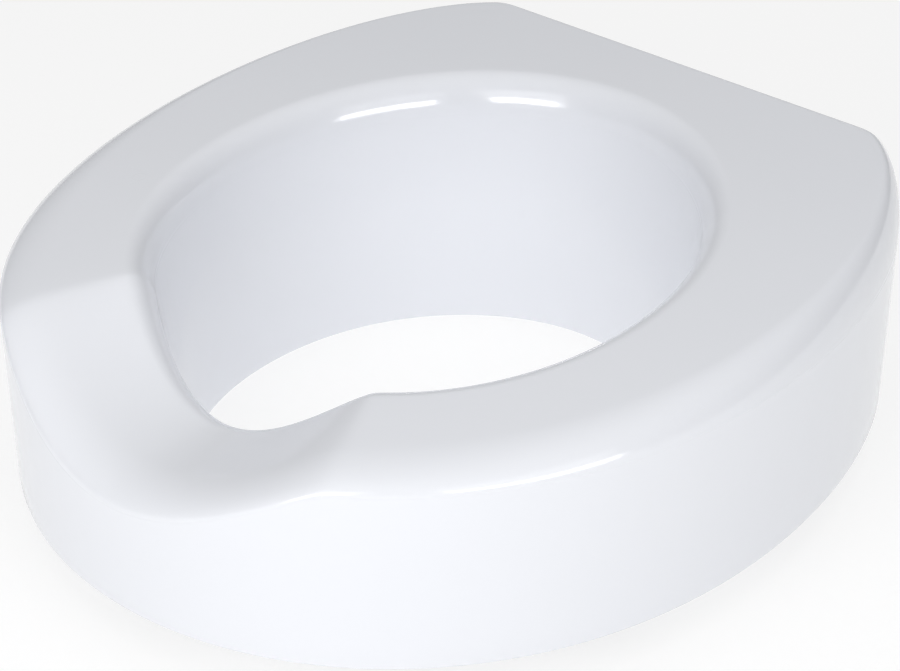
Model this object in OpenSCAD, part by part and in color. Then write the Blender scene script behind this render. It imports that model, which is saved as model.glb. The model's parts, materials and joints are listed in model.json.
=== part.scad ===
// Raised toilet seat: a moulded seat shell that stands on the rim of a toilet bowl.
// Origin: middle of the footprint, on the plane of the skirt's bottom edge. +Z is up,
// the notch is at the front (-Y) and the straight edge is at the rear (+Y).

/* [Seat] */
// Width across the outer wall
seat_width = 395; // [375:5:415]
// Height of the sitting face above the outer wall's bottom edge, at the middle of the seat
wall_height = 109; // [108:0.5:115]
// Height of the straight part of the outer wall, up to the mould's parting line
line_height = 91; // [86:0.5:91]
// How far the inner skirt reaches below the outer wall
skirt_drop = 21; // [20:1:24]
// Thickness of the moulded walls
wall = 3.5; // [3:0.5:3.5]
// Rise of the sitting face for each millimetre towards the rear
top_rise = 0.062; // [0.05:0.002:0.062]
// Inward lean of the outer wall towards its bottom edge, in degrees
draft = 0.2; // [0:0.1:0.5]
// Width of the rounded outer edge, seen from above
edge_width = 10; // [8:1:16]

/* [Opening] */
// Width of the opening at the skirt's bottom edge
opening_width = 227; // [220:1:230]
// Distance from the front wall to the opening
front_land = 87; // [85:1:89]
// Outward flare of the skirt towards the sitting face, in degrees
skirt_flare = 5.5; // [3:0.5:5.5]
// Width of the rounded edge around the opening, seen from above
lip_width = 14; // [10:1:18]
// Height of the rounded edge around the opening
lip_drop = 18; // [14:1:22]

/* [Notch] */
// Depth of the front notch
notch_depth = 36; // [24:1:37]
// Distance behind the middle of the seat at which the notch's two edges would meet
notch_centre = 44; // [36:1:52]
// How much the notch's half width grows for each millimetre outwards
notch_spread = 0.47; // [0.42:0.01:0.5]
// Roundness of the notch's bottom: a larger exponent gives a flatter bottom
notch_round = 1.15; // [1:0.05:1.4]

/* [Base ring] */
// Thickness of the rubber pads that meet the bowl's rim
pad_height = 7; // [6.5:0.5:8]
// Thickness of the base ring
deck_thick = 5; // [5:0.5:6]
// Diameter of the shell's screw bosses
boss_d = 10; // [9:0.5:11]

/* [Brackets] */
// Width of a bracket
bracket_width = 34; // [30:1:36]
// How far a bracket slides outwards
bracket_travel = 20; // [14:1:20]

/* [Hidden] */
$fn = 48;
// Overlap that joins two pieces of one solid, or that lets a shallow cut reach past a face
sliver = 0.01;
// How far a hole's cut reaches past the faces it goes through
past = 1;
// Running clearance between moving pieces, on each side
slip = 0.05;

// Outlines. Each is the right half of a closed curve, given by its radius of curvature
// (as a share of its half width) at a few directions of its outward normal, in degrees.
outer_dirs = [-90, -55, -25, 10, 40, 60, 75, 90];
outer_radii = [0.93, 0.97, 1.13, 1.75, 0.63, 0.12, 0.12, 0.24];
inner_dirs = [-90, -45, 0, 45, 90];
inner_radii = [1.01, 0.84, 1.3, 1.04, 0];

// Steps of the running sum along a curve whose radius changes evenly with direction
function rad(degrees) = degrees * PI / 180;
function slope(dirs, radii, k) = (radii[k + 1] - radii[k]) / rad(dirs[k + 1] - dirs[k]);
function radius(dirs, radii, k, dir) = radii[k] + slope(dirs, radii, k) * rad(dir - dirs[k]);
function spot(dirs, radii, k, dir) =
    let (r = radius(dirs, radii, k, dir), b = slope(dirs, radii, k))
    [r * cos(dir) - b * sin(dir), r * sin(dir) + b * cos(dir)];
function stretch(dirs, radii, k, dir) = spot(dirs, radii, k, dir) - spot(dirs, radii, k, dirs[k]);
function along(dirs, radii, dir, k = 0) =
    dir <= dirs[k + 1] || k == len(dirs) - 2
        ? stretch(dirs, radii, k, dir)
        : stretch(dirs, radii, k, dirs[k + 1]) + along(dirs, radii, dir, k + 1);

// The rear radius that closes the opening's outline on the middle line
function with_rear(radii, r) = [for (k = [0:len(radii) - 1]) k == len(radii) - 1 ? r : radii[k]];
gap_at_0 = along(inner_dirs, with_rear(inner_radii, 0), 90)[0];
gap_at_1 = along(inner_dirs, with_rear(inner_radii, 1), 90)[0];
closed_radii = with_rear(inner_radii, gap_at_0 / (gap_at_0 - gap_at_1));

outer_scale = seat_width / 2 / along(outer_dirs, outer_radii, 0)[0];
inner_scale = opening_width / 2 / along(inner_dirs, closed_radii, 0)[0];
seat_length = outer_scale * along(outer_dirs, outer_radii, 90)[1];
rear_half = outer_scale * along(outer_dirs, outer_radii, 90)[0];
front_y = -seat_length / 2;
lip_y = front_y + front_land;
function outer_point(dir) = outer_scale * along(outer_dirs, outer_radii, dir) + [0, front_y];
function inner_point(dir) = inner_scale * along(inner_dirs, closed_radii, dir) + [0, lip_y];
function normal(dir) = [cos(dir), sin(dir)];

// Stations around the right half: station number against the normal's direction
half_steps = 48;
corner_step = 42;
outer_turn = [[0, -90], [14, -60], [30, 20], [corner_step, 90], [half_steps, 90]];
inner_turn = [[0, -90], [14, -55], [30, 5], [corner_step, 62], [half_steps, 90]];
function rear_share(i) = i < corner_step ? 1 : (half_steps - i) / (half_steps - corner_step);
function right_outer(i) =
    let (dir = lookup(i, outer_turn), p = outer_point(dir))
    [[i > corner_step ? rear_half * rear_share(i) : p[0], p[1]], normal(dir)];
function right_inner(i) = let (dir = lookup(i, inner_turn)) [inner_point(dir), normal(dir)];
function flip(v) = [-v[0], v[1]];
function flip_pair(pair) = [flip(pair[0]), flip(pair[1])];
ring_steps = 2 * half_steps;
outer_ring = [for (i = [0:ring_steps - 1])
    i <= half_steps ? right_outer(i) : flip_pair(right_outer(ring_steps - i))];
inner_ring = [for (i = [0:ring_steps - 1])
    i <= half_steps ? right_inner(i) : flip_pair(right_inner(ring_steps - i))];

// Heights. The pads are a little above the outer wall's bottom edge, which then hides the rim.
rim_recess = 4;
outer_bottom = skirt_drop;
seat_z = skirt_drop + wall_height;
rim_z = outer_bottom + rim_recess;
deck_z = rim_z + pad_height;
deck_top = deck_z + deck_thick;
line_z = outer_bottom + line_height;

// Sitting face: a plane that rises to the rear, less the notch
function clamp01(t) = max(0, min(1, t));
function ease(t) = t * t * (3 - 2 * t);
function notch_edge(y) = notch_spread * (notch_centre - y);
function notch_share(x, y) = y > 0 ? 0 : 1 - ease(pow(clamp01(abs(x) / notch_edge(y)), notch_round));
function face_z(p) = seat_z + top_rise * p[1] - notch_depth * notch_share(p[0], p[1]);

// Points of the shell's section, from a ring point, an offset along its normal
// and a drop below the sitting face, or at a fixed height
function below_face(ring, shift, drop) = let (p = ring[0] + shift * ring[1]) [p[0], p[1], face_z(p) - drop];
function at_height(ring, shift, z) = let (p = ring[0] + shift * ring[1]) [p[0], p[1], z];
edge_angles = [0:18:90];
lip_angles = [90, 67.5, 45, 22.5, 0];
inside_angles = [0, 45, 90];
wall_foot = -line_height * tan(draft);
lip_out = (seat_z - lip_drop) * tan(skirt_flare);
function edge_height(ring) = seat_z + top_rise * ring[0][1] - line_z;
function outer_edge(ring, w, h, t, a) = below_face(ring, -t - w * (1 - cos(a)), t + h * (1 - sin(a)));
function inner_edge(ring, w, h, t, a) =
    below_face(ring, lip_out + t + w * (1 - cos(a)), t + h * (1 - sin(a)));
function between(p, q, s, drop) = let (m = p + s * (q - p)) [m[0], m[1], face_z(m) - drop];
function section(o, n) =
    let (
        h = edge_height(o),
        outer_top = outer_edge(o, edge_width, h, 0, 90),
        inner_top = inner_edge(n, lip_width, lip_drop, 0, 90),
        thin_edge = edge_width - wall,
        thin_lip = lip_width - wall,
        thin_drop = lip_drop - wall,
        outer_under = outer_edge(o, thin_edge, h - wall, wall, 90),
        inner_under = inner_edge(n, thin_lip, thin_drop, wall, 90)
    )
    concat(
        [at_height(o, wall_foot, outer_bottom)],
        [for (a = edge_angles) outer_edge(o, edge_width, h, 0, a)],
        [for (s = [1 / 3, 2 / 3]) between(outer_top, inner_top, s, 0)],
        [for (a = lip_angles) inner_edge(n, lip_width, lip_drop, 0, a)],
        [at_height(n, 0, 0), at_height(n, wall, 0)],
        [for (a = inside_angles) inner_edge(n, thin_lip, thin_drop, wall, a)],
        [for (s = [2 / 3, 1 / 3]) between(outer_under, inner_under, s, wall)],
        [for (a = [90, 45, 0]) outer_edge(o, thin_edge, h - wall, wall, a)],
        [at_height(o, wall_foot - wall, outer_bottom)]
    );

// A closed tube of sections around the ring
module ring_tube(sections) {
    turns = len(sections);
    count = len(sections[0]);
    points = [for (s = sections) for (p = s) p];
    faces = [for (i = [0:turns - 1]) for (j = [0:count - 1])
        let (
            a = i * count + j,
            b = i * count + (j + 1) % count,
            c = ((i + 1) % turns) * count + (j + 1) % count,
            d = ((i + 1) % turns) * count + j
        )
        for (f = [[a, b, c], [a, c, d]]) f];
    polyhedron(points, faces);
}

// Screw bosses hang from under the sitting face, in the middle of the ring. They have flat
// sides, so that they meet the faceted underside in straight lines.
boss_sides = 12;
boss_dirs = [-78, -33, 1, 34, 72];
boss_out = 44;
boss_bore = 1.8;
boss_cover = 2.6;
right_bosses = [for (dir = boss_dirs) inner_point(dir) + boss_out * normal(dir)];
bosses = concat(right_bosses, [for (p = right_bosses) flip(p)]);

module seat_shell() {
    color("white") difference() {
        union() {
            ring_tube([for (i = [0:ring_steps - 1]) section(outer_ring[i], inner_ring[i])]);
            for (p = bosses)
                translate([p[0], p[1], deck_top])
                    cylinder(d = boss_d, h = face_z(p) - boss_cover - deck_top, $fn = boss_sides);
        }
        for (p = bosses)
            translate([p[0], p[1], deck_top - sliver])
                cylinder(r = boss_bore, h = screw_length);
    }
}

// Base ring: a flat plate between the walls, with a turned-up lip along each edge
deck_gap = 0.4;
lip_wall = 2.5;
lip_height = 7;
lowest_face = seat_z + top_rise * lip_y - notch_depth;
steepest_skirt = lip_out / (lowest_face - lip_drop);
deck_outer = wall_foot - wall - deck_gap;
deck_inner = wall + deck_gap + (deck_top + lip_height) * steepest_skirt;
function flat_outline(ring, shift) = [for (r = ring) r[0] + shift * r[1]];
deck_outside = flat_outline(outer_ring, deck_outer);
deck_inside = flat_outline(inner_ring, deck_inner);
module flat_band(outside, inside, z, h) {
    translate([0, 0, z])
        linear_extrude(h) difference() {
            polygon(outside);
            polygon(inside);
        }
}
module cylinder_from(r, low, high) {
    translate([0, 0, low]) cylinder(r = r, h = high - low);
}

// Places on the ring: a direction of the opening's normal, a side and a distance outwards
module at_normal(dir, side, out) {
    p = inner_point(dir) + out * normal(dir);
    mirror([side < 0 ? 1 : 0, 0, 0])
        translate([p[0], p[1], 0])
            rotate([0, 0, dir]) children();
}

// Brackets: the hanging leg starts just outside the skirt, the lock screw stands further out
bracket_dir = 50;
skirt_clear = 1.5;
bracket_start = wall + deck_z * tan(skirt_flare) + skirt_clear;
screw_reach = 34;
screw_out = bracket_start + screw_reach;
hang_thick = 4;
hang_bottom = 5;
leg_thick = 3;
leg_end = 7;
leg_top = deck_z - slip;
washer_top = leg_top - leg_thick;
slot_inner = screw_reach - bracket_travel;
slot_gap = 0.2;
module at_brackets(out) {
    for (dir = [-bracket_dir, bracket_dir], side = [1, -1])
        at_normal(dir, side, out) children();
}

// Rim pads: front and rear ones, and two on each side
pad_out = bracket_start + 32;
pad_front_dir = -16;
pad_rear_dir = 18;
pad_places = [
    [-90, 1], [90, 1],
    [pad_front_dir, 1], [pad_rear_dir, 1], [pad_front_dir, -1], [pad_rear_dir, -1]
];
pad_length = 52;
pad_width = 20;
pad_groove_width = 2;
pad_groove_depth = 1.2;
pad_groove_pitch = 6;
pad_grooves_each_side = 3;
stem_r = 3;
stem_apart = 28;
stem_flare = 1.3;
stem_flare_rise = 0.8;
stem_head = 5;
stem_tip_r = 1.6;
stem_root = 1;
module at_stems() {
    for (s = [-1, 1]) translate([0, s * stem_apart / 2, 0]) children();
}

// Lock screw, washer and insert, on the screw's own axis
stud_r = 3;
head_r = 7.5;
head_thick = 2.4;
coin_slot_width = 2.2;
coin_slot_depth = 1.4;
washer_thick = 1;
washer_r = 8.5;
insert_r = 4.5;
insert_height = 11;
insert_cap = 1;
insert_cap_r = 6;
insert_boss_r = 8;
insert_sunk = 0.5;

// Guide rails beside each bracket's slotted leg
rail_thick = 2.5;
rail_height = 3;
rail_length = 60;
rail_y = bracket_width / 2 + slip + rail_thick / 2;

// Self-tapping screws of the base ring
screw_length = 17;
screw_head_r = 4;
screw_head_thick = 2.4;
screw_head_gap = 0.3;
cross_length = 4.4;
cross_width = 1;
cross_depth = 1.3;

module guide_rails() {
    for (s = [-1, 1])
        translate([0, s * rail_y - rail_thick / 2, deck_z - rail_height])
            cube([rail_length, rail_thick, rail_height + sliver]);
}

module base_ring() {
    outer_lip_inside = flat_outline(outer_ring, deck_outer - lip_wall);
    inner_lip_outside = flat_outline(inner_ring, deck_inner + lip_wall);
    color("gainsboro") difference() {
        union() {
            flat_band(deck_outside, deck_inside, deck_z, deck_thick);
            flat_band(deck_outside, outer_lip_inside, deck_top - sliver, lip_height);
            flat_band(inner_lip_outside, deck_inside, deck_top - sliver, lip_height);
            at_brackets(screw_out)
                cylinder_from(insert_boss_r, deck_top - sliver, deck_z + insert_height);
            at_brackets(bracket_start) guide_rails();
        }
        at_brackets(screw_out)
            cylinder_from(insert_r + slip, deck_z - sliver, deck_z + insert_height + insert_cap);
        for (place = pad_places)
            at_normal(place[0], place[1], pad_out) at_stems()
                cylinder_from(stem_r + slip, deck_z - sliver, deck_top + sliver);
        for (p = bosses)
            translate([p[0], p[1], 0]) {
                cylinder_from(boss_bore + slip, deck_z - sliver, deck_top + sliver);
                cylinder_from(screw_head_r + screw_head_gap, deck_z - sliver, deck_z + screw_head_thick);
            }
    }
}

module ring_screws() {
    color("silver") for (p = bosses)
        translate([p[0], p[1], deck_z]) difference() {
            union() {
                cylinder(r = screw_head_r, h = screw_head_thick);
                cylinder(r = boss_bore - slip, h = screw_length);
            }
            for (a = [0, 90])
                rotate([0, 0, a])
                    translate([-cross_length / 2, -cross_width / 2, -sliver])
                        cube([cross_length, cross_width, cross_depth]);
        }
}

// Rubber pad with two push-in stems whose flared heads catch above the base ring
stem_profile = [
    [0, -stem_root], [stem_r, -stem_root], [stem_r, deck_thick], 
    [stem_r + stem_flare, deck_thick + stem_flare_rise],
    [stem_tip_r, deck_thick + stem_head], [0, deck_thick + stem_head]
];
module pad_outline() {
    straight = pad_length - pad_width;
    square([pad_width, straight], center = true);
    for (s = [-1, 1]) translate([0, s * straight / 2]) circle(d = pad_width);
}
module rim_pad() {
    last_groove = (pad_grooves_each_side + 0.5) * pad_groove_pitch;
    color("dimgray") {
        translate([0, 0, rim_z]) difference() {
            linear_extrude(pad_height) pad_outline();
            for (y = [-last_groove:pad_groove_pitch:last_groove])
                translate([-pad_width, y - pad_groove_width / 2, -sliver])
                    cube([2 * pad_width, pad_groove_width, pad_groove_depth]);
        }
        at_stems() translate([0, 0, deck_z]) rotate_extrude() polygon(stem_profile);
    }
}

// Bracket: a slotted leg under the base ring and a leg that hangs beside the skirt
button_r = 2.5;
button_y = 9;
button_z = hang_bottom + 12;
module at_buttons(x) {
    for (s = [-1, 1]) translate([x, s * button_y, button_z]) rotate([0, 90, 0]) children();
}
module slot_outline() {
    translate([slot_inner, -stud_r - slot_gap]) square([bracket_travel, 2 * (stud_r + slot_gap)]);
    for (x = [slot_inner, screw_reach]) translate([x, 0]) circle(r = stud_r + slot_gap);
}
module bracket() {
    color("whitesmoke") difference() {
        translate([0, -bracket_width / 2, 0]) {
            translate([0, 0, washer_top]) cube([screw_reach + leg_end, bracket_width, leg_thick]);
            translate([0, 0, hang_bottom]) cube([hang_thick, bracket_width, leg_top - hang_bottom]);
        }
        translate([0, 0, washer_top - past]) linear_extrude(leg_thick + 2 * past) slot_outline();
        at_buttons(-past) cylinder(r = button_r + slip, h = hang_thick + 2 * past);
    }
}

// Rubber grip with two buttons through the hanging leg, upright grooves, and a face curved
// like the inside of a bowl
grip_thick = 4;
grip_height = 16;
grip_margin = 1;
grip_face_r = 110;
grip_groove_width = 1.6;
grip_groove_depth = 1.4;
grip_groove_pitch = 4;
grip_grooves_each_side = 3;
button_root = 1;
button_short = 0.2;
button_length = hang_thick + button_root - button_short;
module grip() {
    face_x = hang_thick + grip_thick;
    last_groove = grip_grooves_each_side * grip_groove_pitch;
    color("dimgray") {
        difference() {
            intersection() {
                translate([hang_thick, grip_margin - bracket_width / 2, hang_bottom + grip_margin])
                    cube([grip_thick, bracket_width - 2 * grip_margin, grip_height]);
                translate([face_x - grip_face_r, 0, 0])
                    cylinder(r = grip_face_r, h = deck_z, $fn = 180);
            }
            for (y = [-last_groove:grip_groove_pitch:last_groove])
                translate([face_x - grip_groove_depth, y - grip_groove_width / 2, 0])
                    cube([grip_thick, grip_groove_width, deck_z]);
        }
        at_buttons(button_short) cylinder(r = button_r, h = button_length);
    }
}

module lock_screw() {
    head_z = washer_top - washer_thick - head_thick;
    color("lightgray") difference() {
        union() {
            cylinder_from(head_r, head_z, head_z + head_thick);
            cylinder_from(stud_r - slip, head_z + head_thick - sliver, deck_z + insert_height + insert_cap);
        }
        translate([-head_r - past, -coin_slot_width / 2, head_z - sliver])
            cube([2 * (head_r + past), coin_slot_width, coin_slot_depth]);
    }
}

module washer() {
    color("silver") difference() {
        cylinder_from(washer_r, washer_top - washer_thick, washer_top);
        cylinder_from(stud_r + slot_gap, washer_top - washer_thick - past, washer_top + past);
    }
}

module insert() {
    insert_top = deck_z + insert_height;
    color("goldenrod") difference() {
        union() {
            cylinder_from(insert_r, deck_z + insert_sunk, insert_top);
            cylinder_from(insert_cap_r, insert_top, insert_top + insert_cap);
        }
        cylinder_from(stud_r, deck_z, insert_top + insert_cap + past);
    }
}

module place_pad(dir, side) { at_normal(dir, side, pad_out) rim_pad(); }
module place_bracket(end, side) { at_normal(end * bracket_dir, side, bracket_start) children(); }
module place_screw(end, side) { at_normal(end * bracket_dir, side, screw_out) children(); }

seat_shell();
base_ring();
ring_screws();
place_pad(-90, 1);  // rim_pad_front
place_pad(90, 1);  // rim_pad_rear
place_pad(pad_front_dir, 1);  // rim_pad_right_front
place_pad(pad_rear_dir, 1);  // rim_pad_right_rear
place_pad(pad_front_dir, -1);  // rim_pad_left_front
place_pad(pad_rear_dir, -1);  // rim_pad_left_rear
place_bracket(-1, 1) bracket();  // bracket_front_right
place_bracket(-1, -1) bracket();  // bracket_front_left
place_bracket(1, 1) bracket();  // bracket_rear_right
place_bracket(1, -1) bracket();  // bracket_rear_left
place_bracket(-1, 1) grip();  // grip_front_right
place_bracket(-1, -1) grip();  // grip_front_left
place_bracket(1, 1) grip();  // grip_rear_right
place_bracket(1, -1) grip();  // grip_rear_left
place_screw(-1, 1) lock_screw();  // lock_screw_front_right
place_screw(-1, -1) lock_screw();  // lock_screw_front_left
place_screw(1, 1) lock_screw();  // lock_screw_rear_right
place_screw(1, -1) lock_screw();  // lock_screw_rear_left
place_screw(-1, 1) washer();  // washer_front_right
place_screw(-1, -1) washer();  // washer_front_left
place_screw(1, 1) washer();  // washer_rear_right
place_screw(1, -1) washer();  // washer_rear_left
place_screw(-1, 1) insert();  // insert_front_right
place_screw(-1, -1) insert();  // insert_front_left
place_screw(1, 1) insert();  // insert_rear_right
place_screw(1, -1) insert();  // insert_rear_left
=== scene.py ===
import json
import math

import bmesh
import bpy
import numpy as np
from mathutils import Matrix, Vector


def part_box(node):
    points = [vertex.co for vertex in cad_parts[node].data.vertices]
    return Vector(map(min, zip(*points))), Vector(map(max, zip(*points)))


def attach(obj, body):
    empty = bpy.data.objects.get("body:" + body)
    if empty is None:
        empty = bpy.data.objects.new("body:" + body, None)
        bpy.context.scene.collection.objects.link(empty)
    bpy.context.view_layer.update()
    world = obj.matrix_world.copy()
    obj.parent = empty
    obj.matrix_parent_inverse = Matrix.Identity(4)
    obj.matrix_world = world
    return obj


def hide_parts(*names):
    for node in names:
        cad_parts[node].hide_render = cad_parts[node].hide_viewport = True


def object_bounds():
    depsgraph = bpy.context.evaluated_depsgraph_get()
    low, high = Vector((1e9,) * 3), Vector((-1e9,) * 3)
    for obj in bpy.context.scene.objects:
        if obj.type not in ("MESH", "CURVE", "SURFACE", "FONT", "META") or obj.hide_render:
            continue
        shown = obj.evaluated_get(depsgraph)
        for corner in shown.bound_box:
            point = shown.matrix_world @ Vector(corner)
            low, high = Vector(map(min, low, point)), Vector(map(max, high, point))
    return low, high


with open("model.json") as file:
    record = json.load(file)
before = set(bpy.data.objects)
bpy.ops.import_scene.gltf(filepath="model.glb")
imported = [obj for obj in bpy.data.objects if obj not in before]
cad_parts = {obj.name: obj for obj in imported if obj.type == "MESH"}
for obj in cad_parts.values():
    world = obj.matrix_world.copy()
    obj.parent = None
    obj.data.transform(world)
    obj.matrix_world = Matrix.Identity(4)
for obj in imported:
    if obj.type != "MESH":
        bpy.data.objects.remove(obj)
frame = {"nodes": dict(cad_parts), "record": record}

MM = 0.001
CAD_LOW, CAD_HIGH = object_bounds()
SHELL_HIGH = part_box("seat_shell")[1]


# ---------------------------------------------------------------- outlines
# Each outline is the right half of a closed curve. Its radius of curvature, as a share
# of its half width, changes evenly between a few directions of its outward normal.
OUTER_DIRS = [-90, -55, -25, 10, 40, 60, 75, 90]
OUTER_RADII = [0.93, 0.97, 1.13, 1.75, 0.63, 0.12, 0.12, 0.24]
INNER_DIRS = [-90, -45, 0, 45, 90]
INNER_RADII = [1.01, 0.84, 1.3, 1.04]
DIRECTION_STEP = 0.05
EDGE_BEAD = 0.08 * MM
LIP_BEAD = 0.05 * MM
HALF_WIDTH = SHELL_HIGH.x - EDGE_BEAD
HALF_OPENING = 113.5 * MM
FRONT_LAND = 87 * MM
FINE_DIRS = np.arange(-90, 90 + DIRECTION_STEP / 2, DIRECTION_STEP)


def half_curve(directions, radii):
    """Points on the curve from its front, at FINE_DIRS, before scaling."""
    radius = np.interp(FINE_DIRS, directions, radii)
    angle = np.radians(FINE_DIRS)
    speed = np.stack([-np.sin(angle), np.cos(angle)], 1) * radius[:, None]
    steps = (speed[1:] + speed[:-1]) / 2 * math.radians(DIRECTION_STEP)
    return np.vstack([[0, 0], np.cumsum(steps, 0)])


def scaled(curve, half_width):
    """The curve with its widest point at half_width."""
    return curve * half_width / np.interp(0, FINE_DIRS, curve[:, 0])


def closing_radius():
    """The rear radius that brings the opening's outline back to the middle line."""
    gaps = [half_curve(INNER_DIRS, INNER_RADII + [r])[-1, 0] for r in (0, 1)]
    return gaps[0] / (gaps[0] - gaps[1])


OUTER = scaled(half_curve(OUTER_DIRS, OUTER_RADII), HALF_WIDTH)
INNER = scaled(half_curve(INNER_DIRS, INNER_RADII + [closing_radius()]), HALF_OPENING)
FRONT_Y = -OUTER[-1, 1] / 2
OUTER[:, 1] += FRONT_Y
LIP_Y = FRONT_Y - EDGE_BEAD + FRONT_LAND
INNER[:, 1] += LIP_Y
REAR_HALF = OUTER[-1, 0]

# Stations round the right half: share of the way against the normal's direction
CORNER = 0.875
OUTER_TURN = ([0, 0.29, 0.625, CORNER, 1], [-90, -60, 20, 90, 90])
INNER_TURN = ([0, 0.29, 0.625, CORNER, 1], [-90, -55, 5, 62, 90])
HALF_STATIONS = 240


def on_curve(curve, directions):
    return np.stack([np.interp(directions, FINE_DIRS, curve[:, k]) for k in (0, 1)], 1)


def whole_ring(curve, turn, rear_half=None):
    """(points, outward normals) of the closed outline, one row for each station."""
    share = np.linspace(0, 1, HALF_STATIONS + 1)
    directions = np.interp(share, *turn)
    points = on_curve(curve, directions)
    if rear_half is not None:
        straight = share > CORNER
        points[straight, 0] = rear_half * (1 - share[straight]) / (1 - CORNER)
    angle = np.radians(directions)
    normals = np.stack([np.cos(angle), np.sin(angle)], 1)
    flip = [-1, 1]
    return (
        np.vstack([points, points[-2:0:-1] * flip]),
        np.vstack([normals, normals[-2:0:-1] * flip]),
    )


OUTER_RING = whole_ring(OUTER, OUTER_TURN, REAR_HALF)
INNER_RING = whole_ring(INNER, INNER_TURN)

# ---------------------------------------------------------------- shell
TOP_RISE = 0.062
EDGE_WIDTH = 10 * MM
FRONT_EDGE_WIDTH = 25 * MM
LIP_WIDTH = 14 * MM
LIP_DROP = 18 * MM
WALL = 3.5 * MM
WALL_BOTTOM = 21 * MM
LINE_HEIGHT = 91 * MM
LINE_Z = WALL_BOTTOM + LINE_HEIGHT
DRAFT = math.radians(0.2)
SKIRT_FLARE = math.radians(5.5)
FOOT_ROUND = 1.2 * MM
SEAT_Z = SHELL_HIGH.z - TOP_RISE * (SHELL_HIGH.y - EDGE_WIDTH)
NOTCH_DEPTH = 36 * MM
NOTCH_CENTRE = 44 * MM
NOTCH_SPREAD = 0.47
NOTCH_ROUND = 1.15
CREST_POWER = 1.6
CREST_BLEND = 0.05
CREST_SHARE = 0.5
FADE_LENGTH = 30 * MM
RIM_RISE = 5 * MM
SHELL_SHARP = math.radians(50)
FOOT_ANGLES = np.radians([0, 22.5, 45, 67.5, 90])
# Rows of the raised mould line: mm back from the edge, share of its full height
BEAD_PROFILE = [(1.6, 0), (1.0, 0), (0.75, 0.7), (0.5, 1), (0.25, 0.7), (0, 0)]
# How many rows of points each stretch of the section has
EDGE_STEPS = 25
UNDER_EDGE_STEPS = 9
WALL_ROWS = 9
FACE_ROWS = 24
UNDER_FACE_ROWS = 8
UNDER_SKIRT_ROWS = 5
UNDER_WALL_ROWS = 4
LIP_OUT = (SEAT_Z - LIP_DROP) * math.tan(SKIRT_FLARE)
WALL_FOOT = -LINE_HEIGHT * math.tan(DRAFT)


def ease(t):
    t = np.clip(t, 0, 1)
    return t * t * (3 - 2 * t)


def plane_z(y):
    """Height of the sitting plane, which rises to the rear."""
    return SEAT_Z + TOP_RISE * y


def notch_share(points):
    """How far down the notch plan points are: 1 along its middle, 0 outside it."""
    x, y = points[:, 0], points[:, 1]
    edge = NOTCH_SPREAD * np.maximum(NOTCH_CENTRE - y, MM)
    across = np.abs(x) / edge
    soft = 1 - ease(np.clip(across, 0, 1) ** NOTCH_ROUND)
    crisp = 1 - across ** CREST_POWER
    crisp = (crisp + np.sqrt(crisp ** 2 + CREST_BLEND ** 2)) / 2
    return (soft + CREST_SHARE * (crisp - soft)) * ease(-y / FADE_LENGTH)


def face_z(points):
    """Height of the sitting face over plan points: the plane, less the notch."""
    y = points[:, 1]
    depth = NOTCH_DEPTH - RIM_RISE * ease((LIP_Y - y) / (LIP_Y - FRONT_Y))
    return plane_z(y) - depth * notch_share(points)


def lifted(points, z):
    return np.column_stack([points, np.broadcast_to(z, len(points))])


def below_face(ring, shift, drop):
    """A row of the section: an offset along the ring's normals and a drop below the face."""
    points = ring[0] + np.reshape(shift, (-1, 1)) * ring[1]
    return lifted(points, face_z(points) - drop)


def shares_between(count):
    """Even shares of the way between two rows, without the two themselves."""
    return np.linspace(0, 1, count + 2)[1:-1]


def across_face(low, high, count, drop):
    """Rows that lie on the face, or drop below it, between two rows."""
    rows = []
    for share in shares_between(count):
        points = (low + (high - low) * share)[:, :2]
        rows.append(lifted(points, face_z(points) - drop))
    return rows


def edge_row(ring, inset, angle):
    """A row of the rounded outer edge, a quarter ellipse from 0 at the parting line to 90 degrees."""
    to_rear = ease((1 - ring[0][:, 1] / FRONT_Y) / 2)
    width = FRONT_EDGE_WIDTH + (EDGE_WIDTH - FRONT_EDGE_WIDTH) * to_rear
    across = inset + (width - inset) * (1 - math.cos(angle))
    line = LINE_Z - NOTCH_DEPTH * notch_share(ring[0])
    height = face_z(ring[0]) - line - inset
    return below_face(ring, -across, inset + height * (1 - math.sin(angle)))


def lip_row(ring, inset, angle):
    """A row of the rounded edge round the opening, from 90 degrees on top to 0 at the skirt."""
    across = LIP_OUT + inset + (LIP_WIDTH - inset) * (1 - math.cos(angle))
    return below_face(ring, across, inset + (LIP_DROP - inset) * (1 - math.sin(angle)))


def bead_rows(low, high, normals, bead):
    """Rows between two rows, with a fine raised line where the mould's halves met, next to high."""
    rows = []
    span = np.linalg.norm(high - low, axis=1, keepdims=True)
    outward = np.column_stack([normals * bead, np.zeros(len(normals))])
    for back, lift in BEAD_PROFILE:
        rows.append(high + (low - high) * np.minimum(1, back * MM / span) + outward * lift)
    return rows


def straight_rows(a, b, count):
    """Rows between two rows, without the two themselves."""
    return [a + (b - a) * share for share in shares_between(count)]


def foot_rows(ring, outside, inside, z):
    """The rounded bottom edge of a wall, from its outer face to its inner face."""
    side = np.sign(outside - inside)
    turns = [(outside, -side, angle) for angle in FOOT_ANGLES]
    turns += [(inside, side, angle) for angle in FOOT_ANGLES[::-1]]
    rows = []
    for start, way, angle in turns:
        shift = start + way * FOOT_ROUND * (1 - math.cos(angle))
        rows.append(lifted(ring[0] + shift * ring[1], z + FOOT_ROUND * (1 - math.sin(angle))))
    return rows


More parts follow.
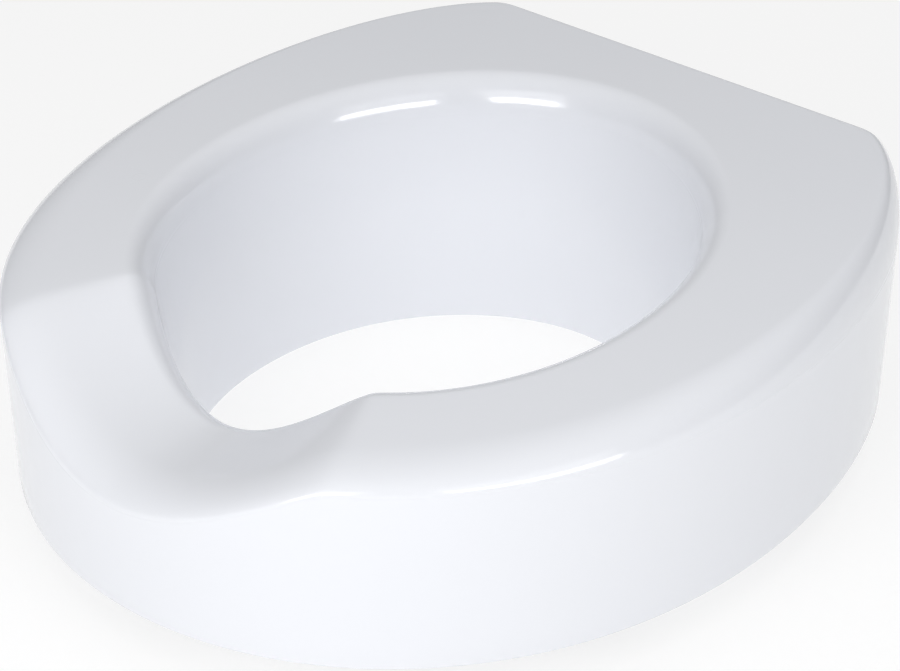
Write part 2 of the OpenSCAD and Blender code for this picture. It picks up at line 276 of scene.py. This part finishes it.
def shell_rows():
    """Closed loop of rows: up the outer wall, over the face, down the skirt and back inside."""
    outer, inner = OUTER_RING, INNER_RING
    fine = np.radians(np.linspace(0, 90, EDGE_STEPS))
    coarse = np.radians(np.linspace(0, 90, UNDER_EDGE_STEPS))
    edge = [edge_row(outer, 0, a) for a in fine]
    lip = [lip_row(inner, 0, a) for a in fine[::-1]]
    under_edge = [edge_row(outer, WALL, a) for a in coarse[::-1]]
    under_lip = [lip_row(inner, WALL, a) for a in coarse]
    wall_foot = foot_rows(outer, WALL_FOOT - WALL, WALL_FOOT, WALL_BOTTOM)
    skirt_foot = foot_rows(inner, 0, WALL, 0)
    rows = wall_foot + straight_rows(wall_foot[-1], edge[0], WALL_ROWS)
    rows += bead_rows(rows[-1], edge[0], outer[1], EDGE_BEAD)
    rows += edge[1:]
    rows += across_face(edge[-1], lip[0], FACE_ROWS, 0)
    rows += lip[:-1]
    skirt = straight_rows(lip[-1], skirt_foot[0], WALL_ROWS)
    rows += bead_rows(skirt[0], lip[-1], inner[1], -LIP_BEAD)[::-1]
    rows += skirt + skirt_foot
    rows += straight_rows(skirt_foot[-1], under_lip[0], UNDER_SKIRT_ROWS)
    rows += under_lip
    rows += across_face(under_lip[-1], under_edge[0], UNDER_FACE_ROWS, WALL)
    rows += under_edge
    rows += straight_rows(under_edge[-1], wall_foot[0], UNDER_WALL_ROWS)
    return rows


# Screw bosses reach from the base ring's deck to inside the face's wall
BOSS_DIRS = [-78, -33, 1, 34, 72]
BOSS_OUT = 44 * MM
BOSS_RADIUS = 5 * MM
BOSS_BORE = 1.8 * MM
BOSS_COVER = 2.6 * MM
BOSS_ROUND = 0.4 * MM
BOSS_SIDES = 32
DECK_THICKNESS = 5 * MM


def boss_places():
    """Plan positions of all the bosses, the right ones and then the left ones."""
    angle = np.radians(BOSS_DIRS)
    normals = np.stack([np.cos(angle), np.sin(angle)], 1)
    right = on_curve(INNER, BOSS_DIRS) + BOSS_OUT * normals
    return np.vstack([right, right * [-1, 1]])


def circle_row(centre, radius, z):
    angle = np.arange(BOSS_SIDES) * 2 * math.pi / BOSS_SIDES
    return lifted(centre + radius * np.stack([np.cos(angle), np.sin(angle)], 1), z)


def boss_rows(centre):
    """Closed loop of rows round a boss with a bore. The screws' heads start at the deck's lower side."""
    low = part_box("ring_screws")[0].z + DECK_THICKNESS
    high = face_z(centre[None])[0] - BOSS_COVER
    outline = [
        (BOSS_BORE, low + BOSS_ROUND), (BOSS_BORE + BOSS_ROUND, low),
        (BOSS_RADIUS - BOSS_ROUND, low), (BOSS_RADIUS, low + BOSS_ROUND),
        (BOSS_RADIUS, high), (BOSS_BORE, high),
    ]
    return [circle_row(centre, radius, z) for radius, z in outline]


def tube(rows, first=0):
    """(points, faces) of a closed loop of closed rows, with its points numbered from first."""
    points = np.array(rows)
    count, stations = points.shape[:2]
    row, station = np.meshgrid(np.arange(count), np.arange(stations), indexing="ij")
    next_row, next_station = (row + 1) % count, (station + 1) % stations
    corners = [
        row * stations + station,
        row * stations + next_station,
        next_row * stations + next_station,
        next_row * stations + station,
    ]
    return points.reshape(-1, 3), np.stack(corners, -1).reshape(-1, 4) + first


def tubes_mesh(name, loops):
    """One mesh from several closed loops of rows."""
    all_points, all_faces = [], []
    for rows in loops:
        points, faces = tube(rows, len(all_points))
        all_points += points.tolist()
        all_faces += faces.tolist()
    mesh = bpy.data.meshes.new(name)
    mesh.from_pydata(all_points, [], all_faces)
    mesh.shade_smooth()
    mesh.set_sharp_from_angle(angle=SHELL_SHARP)
    return mesh


# ---------------------------------------------------------------- parts under the seat
SHARP = math.radians(28)
FLAT = math.radians(0.6)
WELD = 0.002 * MM
BEVEL_SEGMENTS = 2
# Width of the rounded edges, in mm, by the start of a node's name
EDGE_BEVELS = {
    "base_ring": 0.5, "ring_screws": 0.15, "rim_pad": 0.5, "bracket": 0.5, "grip": 0.25,
    "lock_screw": 0.25, "washer": 0.12, "insert": 0.25,
}


def softened(node, width):
    """A copy of a CAD node's mesh with its flat faces whole and its sharp edges rounded by width."""
    work = bmesh.new()
    work.from_mesh(frame["nodes"][node].data)
    bmesh.ops.remove_doubles(work, verts=work.verts, dist=WELD)
    bmesh.ops.dissolve_limit(work, angle_limit=FLAT, verts=work.verts, edges=work.edges)
    sharp = [e for e in work.edges if e.is_manifold and e.calc_face_angle(0) > SHARP]
    bmesh.ops.bevel(
        work, geom=sharp, offset=width, offset_type="OFFSET", segments=BEVEL_SEGMENTS, profile=0.5,
        affect="EDGES", clamp_overlap=True,
    )
    mesh = bpy.data.meshes.new(node + "_finished")
    work.to_mesh(mesh)
    work.free()
    if "custom_normal" in mesh.attributes:
        mesh.attributes.remove(mesh.attributes["custom_normal"])
    mesh.shade_smooth()
    mesh.set_sharp_from_angle(angle=SHARP)
    return mesh


def add(name, mesh, material, body, node):
    """Links a piece that stands for a CAD node."""
    piece = bpy.data.objects.new(name, mesh)
    bpy.context.scene.collection.objects.link(piece)
    piece.data.materials.append(material)
    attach(piece, body)
    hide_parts(node)
    return piece


# ---------------------------------------------------------------- materials
SHELL_LIGHT = (0.878, 0.893, 0.936)
SHELL_DARK = (0.860, 0.876, 0.920)
SHELL_ROUGHNESS = (0.11, 0.15)
RUBBER_ROUGHNESS = (0.62, 0.8)
SPECK = (-83.4 * MM, 109.0 * MM, 86.8 * MM)
SPECK_RADIUS = 0.6 * MM
SPECK_COLOUR = (0.35, 0.34, 0.33)
SPECK_STRENGTH = 0.7
MOULD_MARK = (-139.1 * MM, -57.3 * MM, 126.4 * MM)
MARK_RADIUS = 3.3 * MM
MARK_WIDTH = 0.4 * MM


# Most noise lies between these values, so they are where a spread starts and ends
NOISE_LOW = 0.3
NOISE_HIGH = 0.7


class Graph:
    """A node tree. Each method adds a node and returns the output socket to pass on."""

    def __init__(self, tree):
        self.tree = tree

    def node(self, kind, settings, inputs, output):
        made = self.tree.nodes.new(kind)
        for name, value in settings.items():
            setattr(made, name, value)
        for name, value in inputs.items():
            self.put(made.inputs[name], value)
        return made.outputs[output]

    def put(self, socket, value):
        """Links a socket to an input, or sets the input to a plain value."""
        if isinstance(value, bpy.types.NodeSocket):
            self.tree.links.new(value, socket)
        else:
            socket.default_value = value

    def maths(self, operation, a, b):
        return self.node("ShaderNodeMath", {"operation": operation}, {0: a, 1: b}, "Value")

    def vector_maths(self, operation, a, b):
        return self.node("ShaderNodeVectorMath", {"operation": operation}, {0: a, 1: b}, "Value")


class Look(Graph):
    """A node-based material."""

    def __init__(self, name):
        self.material = bpy.data.materials.new(name)
        self.material.use_nodes = True
        super().__init__(self.material.node_tree)
        self.shader = self.tree.nodes["Principled BSDF"]
        self.place = self.tree.nodes.new("ShaderNodeTexCoord").outputs["Object"]

    def noise(self, scale, detail=2, stretch=(1, 1, 1)):
        """Noise with about scale cells to the metre."""
        inputs = {"Vector": self.place, "Scale": stretch}
        place = self.node("ShaderNodeMapping", {}, inputs, "Vector")
        inputs = {"Vector": place, "Scale": scale, "Detail": detail}
        return self.node("ShaderNodeTexNoise", {}, inputs, "Fac")

    def cells(self, scale):
        inputs = {"Vector": self.place, "Scale": scale}
        return self.node("ShaderNodeTexVoronoi", {}, inputs, "Distance")

    def distance(self, point):
        return self.vector_maths("DISTANCE", self.place, point)

    def remap(self, value, low, high, to_low, to_high):
        inputs = {"Value": value, "From Min": low, "From Max": high, "To Min": to_low, "To Max": to_high}
        return self.node("ShaderNodeMapRange", {"interpolation_type": "SMOOTHSTEP"}, inputs, "Result")

    def spread(self, noise, to_low, to_high):
        """Noise spread over a range of values."""
        return self.remap(noise, NOISE_LOW, NOISE_HIGH, to_low, to_high)

    def mix(self, share, a, b):
        """From a to b by share. Each is a plain colour or a colour socket."""
        a, b = (c if isinstance(c, bpy.types.NodeSocket) else (*c, 1) for c in (a, b))
        return self.node("ShaderNodeMix", {"data_type": "RGBA"}, {0: share, 6: a, 7: b}, 2)

    def bump(self, height, distance, strength, under=None):
        """A normal from a height, with another normal under it. The distance is in metres."""
        inputs = {"Height": height, "Distance": distance, "Strength": strength}
        if under is not None:
            inputs["Normal"] = under
        return self.node("ShaderNodeBump", {}, inputs, "Normal")

    def finish(self, colour, roughness, normal, **others):
        self.put(self.shader.inputs["Base Color"], colour)
        self.put(self.shader.inputs["Roughness"], roughness)
        self.put(self.shader.inputs["Normal"], normal)
        for name, value in others.items():
            self.put(self.shader.inputs[name.replace("_", " ")], value)
        return self.material


def gloss_plastic():
    """Polished white plastic: faint mottling, orange peel, a round mark left by the mould, a speck."""
    look = Look("gloss_white_plastic")
    colour = look.mix(look.noise(scale=9), SHELL_LIGHT, SHELL_DARK)
    speck = look.remap(look.distance(SPECK), SPECK_RADIUS / 2, SPECK_RADIUS, 1, 0)
    colour = look.mix(look.maths("MULTIPLY", speck, SPECK_STRENGTH), colour, SPECK_COLOUR)
    roughness = look.spread(look.noise(scale=30, detail=4), *SHELL_ROUGHNESS)
    peel = look.bump(look.noise(scale=260), distance=0.4 * MM, strength=0.05)
    from_ring = look.maths("SUBTRACT", look.distance(MOULD_MARK), MARK_RADIUS)
    ring = look.remap(look.maths("ABSOLUTE", from_ring, 0), 0, MARK_WIDTH, 1, 0)
    normal = look.bump(ring, distance=0.06 * MM, strength=0.8, under=peel)
    return look.finish(colour, roughness, normal, IOR=1.5)


def moulded_plastic(name, light, dark, grain, roughness):
    """Unpolished plastic: a fine even texture with faint flow marks."""
    look = Look(name)
    flow = look.noise(scale=14, detail=4, stretch=(1, 1, 3))
    colour = look.mix(look.spread(flow, 0, 1), light, dark)
    rough = look.spread(look.noise(scale=45, detail=3), roughness - 0.05, roughness + 0.05)
    normal = look.bump(look.noise(scale=grain, detail=3), distance=0.08 * MM, strength=0.5)
    return look.finish(colour, rough, normal, IOR=1.49)


def rubber(name, light, dark):
    """Moulded rubber: dark grey with a dusty bloom and small pores."""
    look = Look(name)
    bloom = look.remap(look.noise(scale=60, detail=5), 0.35, NOISE_HIGH, 0, 1)
    colour = look.mix(bloom, dark, light)
    rough = look.spread(look.noise(scale=110, detail=3), *RUBBER_ROUGHNESS)
    pores = look.bump(look.cells(scale=900), distance=0.1 * MM, strength=0.35)
    grain = look.noise(scale=420, detail=3)
    normal = look.bump(grain, distance=0.12 * MM, strength=0.4, under=pores)
    return look.finish(colour, rough, normal, IOR=1.5)


def metal(name, light, dark, roughness, stretch):
    """Plated or turned metal with fine tool marks along one direction."""
    look = Look(name)
    stain = look.remap(look.noise(scale=70, detail=4), 0.35, 0.65, 0, 1)
    colour = look.mix(stain, dark, light)
    marks = look.noise(scale=500, stretch=stretch)
    rough = look.spread(marks, roughness - 0.07, roughness + 0.08)
    normal = look.bump(marks, distance=0.03 * MM, strength=0.5)
    return look.finish(colour, rough, normal, Metallic=1.0)


# ---------------------------------------------------------------- studio
AZIMUTH = math.radians(41.6)
ELEVATION = math.radians(31.77)
DISTANCE = 1.102
TARGET = Vector((0.0283, -0.0141, 0.0829))
LENS = 92.4
SENSOR_WIDTH = 36
NEAR_CLIP = 0.05
FAR_CLIP = 50
LIGHT_DISTANCE = 1.5
# Broad patches of the sky: azimuth, elevation, strength
SKY_PATCHES = [(0, 89, 0.95), (40, 60, 0.3), (220, 10, 0.25), (220, 40, 0.15)]
SKY_FADE = 3
# Square soft lights: side, azimuth, watts
SOFTBOXES = [("left", 11, 7.9), ("right", 71, 5.0)]
SOFTBOX_ELEVATION = 25
SOFTBOX_SIZE = (1, 1)
# Narrow bright windows that only show as reflections: side, azimuth, elevation, size, watts
WINDOWS = [("left", 13, 12, (0.85, 0.42), 13), ("right", 72, 9, (1.03, 0.42), 16)]
FLOOR_HALF = 6
FLOOR_GAP = 0.2 * MM
FLOOR_GLOW = 0.68
FLOOR_LIGHT = (0.36, 0.36, 0.36)
FLOOR_DARK = (0.34, 0.34, 0.34)


def toward(azimuth, elevation):
    """Unit vector from the object to a viewer at that azimuth and elevation, in radians."""
    level = math.cos(elevation)
    return Vector((math.sin(azimuth) * level, -math.cos(azimuth) * level, math.sin(elevation)))


def make_camera():
    data = bpy.data.cameras.new("camera")
    data.lens = LENS
    data.sensor_width = SENSOR_WIDTH
    data.clip_start = NEAR_CLIP
    data.clip_end = FAR_CLIP
    camera = bpy.data.objects.new("camera", data)
    back = toward(AZIMUTH, ELEVATION)
    camera.location = TARGET + back * DISTANCE
    camera.rotation_euler = (-back).to_track_quat("-Z", "Y").to_euler()
    bpy.context.scene.collection.objects.link(camera)
    bpy.context.scene.camera = camera


def area_light(name, azimuth, elevation, size, watts):
    data = bpy.data.lights.new(name, "AREA")
    data.shape = "RECTANGLE"
    data.size, data.size_y = size
    data.energy = watts
    light = bpy.data.objects.new(name, data)
    back = toward(math.radians(azimuth), math.radians(elevation))
    light.location = TARGET + back * LIGHT_DISTANCE
    light.rotation_euler = back.to_track_quat("Z", "Y").to_euler()
    bpy.context.scene.collection.objects.link(light)
    return light


def make_lights():
    for side, azimuth, watts in SOFTBOXES:
        area_light("softbox_" + side, azimuth, SOFTBOX_ELEVATION, SOFTBOX_SIZE, watts)
    for side, azimuth, elevation, size, watts in WINDOWS:
        window = area_light("window_" + side, azimuth, elevation, size, watts)
        window.visible_diffuse = False


def make_world():
    """Soft light from a few broad patches of a dark sky, each fading evenly to its sides."""
    world = bpy.data.worlds.new("studio")
    world.use_nodes = True
    graph = Graph(world.node_tree)
    outward = graph.node("ShaderNodeTexCoord", {}, {}, "Generated")
    total = 0
    for azimuth, elevation, strength in SKY_PATCHES:
        patch = toward(math.radians(azimuth), math.radians(elevation))
        facing = graph.maths("MAXIMUM", graph.vector_maths("DOT_PRODUCT", outward, patch), 0)
        faded = graph.maths("POWER", facing, SKY_FADE)
        total = graph.maths("ADD", graph.maths("MULTIPLY", faded, strength), total)
    graph.put(world.node_tree.nodes["Background"].inputs["Color"], total)
    bpy.context.scene.world = world


def make_floor():
    """A pale floor that shines a little, so that it stays white right up to the seat."""
    signs = [(-1, -1), (1, -1), (1, 1), (-1, 1)]
    corners = [(x * FLOOR_HALF, y * FLOOR_HALF, 0) for x, y in signs]
    mesh = bpy.data.meshes.new("floor")
    mesh.from_pydata(corners, [], [(0, 1, 2, 3)])
    look = Look("pale_floor")
    colour = look.mix(look.noise(scale=0.7), FLOOR_LIGHT, FLOOR_DARK)
    grain = look.bump(look.noise(scale=300), distance=0.2 * MM, strength=0.1)
    glow = {"Specular_IOR_Level": 0, "Emission_Color": (1, 1, 1, 1), "Emission_Strength": FLOOR_GLOW}
    mesh.materials.append(look.finish(colour, 1, grain, **glow))
    floor = bpy.data.objects.new("floor", mesh)
    bpy.context.scene.collection.objects.link(floor)
    floor.location.z = CAD_LOW.z - FLOOR_GAP


# ---------------------------------------------------------------- build
def make_materials():
    """The materials by the record's slots. Each has a light and a dark colour to vary between."""
    return {
        "seat_plastic": gloss_plastic(),
        "ring_plastic": moulded_plastic(
            "matte_ring_plastic", (0.78, 0.79, 0.8), (0.7, 0.71, 0.72), grain=1500, roughness=0.5,
        ),
        "bracket_plastic": moulded_plastic(
            "satin_bracket_plastic", (0.74, 0.75, 0.77), (0.66, 0.67, 0.69), grain=900, roughness=0.38,
        ),
        "pad_rubber": rubber("pad_rubber", (0.05, 0.05, 0.052), (0.028, 0.028, 0.03)),
        "grip_rubber": rubber("grip_rubber", (0.062, 0.062, 0.066), (0.036, 0.036, 0.038)),
        "lock_steel": metal(
            "turned_zinc_steel", (0.7, 0.71, 0.73), (0.58, 0.59, 0.61), 0.3, (1, 1, 12),
        ),
        "washer_steel": metal(
            "stamped_zinc_steel", (0.66, 0.67, 0.69), (0.54, 0.55, 0.57), 0.36, (6, 1, 1),
        ),
        "screw_steel": metal(
            "zinc_screw_steel", (0.66, 0.66, 0.68), (0.5, 0.5, 0.53), 0.33, (1, 1, 9),
        ),
        "insert_brass": metal(
            "turned_brass", (0.78, 0.6, 0.3), (0.62, 0.45, 0.2), 0.28, (1, 1, 12),
        ),
    }


def node_body(node):
    bodies = frame["record"]["behaviour"]["bodies"]
    return next(body for body, nodes in bodies.items() if node in nodes)


def bevel_of(node):
    return next(width for start, width in EDGE_BEVELS.items() if node.startswith(start)) * MM


def build():
    looks = make_materials()
    for part in frame["record"]["subparts"]:
        node, slot = part["node"], part["material_slot"]
        if node == "seat_shell":
            loops = [shell_rows()] + [boss_rows(place) for place in boss_places()]
            mesh = tubes_mesh(node + "_smooth", loops)
        else:
            mesh = softened(node, bevel_of(node))
        add(mesh.name, mesh, looks[slot], node_body(node), node)


build()
make_camera()
make_floor()
make_world()
make_lights()
bpy.context.scene.view_settings.view_transform = "Standard"
